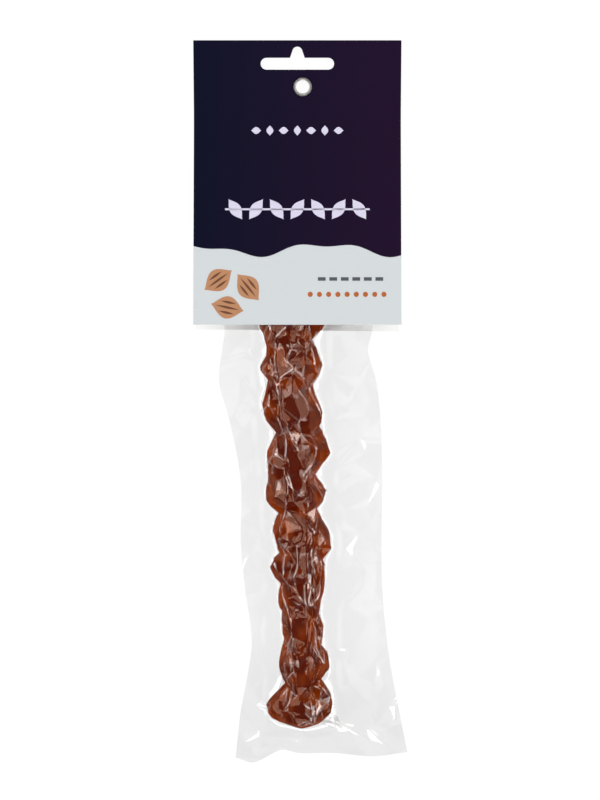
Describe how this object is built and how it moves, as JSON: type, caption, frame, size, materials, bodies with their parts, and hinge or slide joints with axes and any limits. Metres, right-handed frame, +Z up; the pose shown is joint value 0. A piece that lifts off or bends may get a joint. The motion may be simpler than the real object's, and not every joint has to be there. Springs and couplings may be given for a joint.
{
  "type": "churchkhela in a vacuum pouch",
  "caption": "Lumpy churchkhela of walnuts in dried plum juice, vacuum packed in a clear film pouch that hangs from a folded, eyeleted header card with a euro slot.",
  "frame": {"origin": "on the surface the pack lies on, under the middle of its bounding box", "axes": "+Y along the pack towards the fold of the header card, +Z up from the surface through the shown side, +X to the reader's right"},
  "size_m": [0.0956, 0.3267, 0.0266],
  "materials": {
    "churchkhela": "dried fruit juice, reddish brown, glossy under tight film",
    "vacuum_pouch": "clear crinkled film",
    "header_card": "satin printed board, dark navy to purple over a pale grey band",
    "eyelet": "satin metal"
  },
  "bodies": {
    "root": {"churchkhela": "churchkhela", "vacuum_pouch": "vacuum_pouch", "header_card": "header_card", "eyelet": "eyelet"}
  },
  "joints": []
}
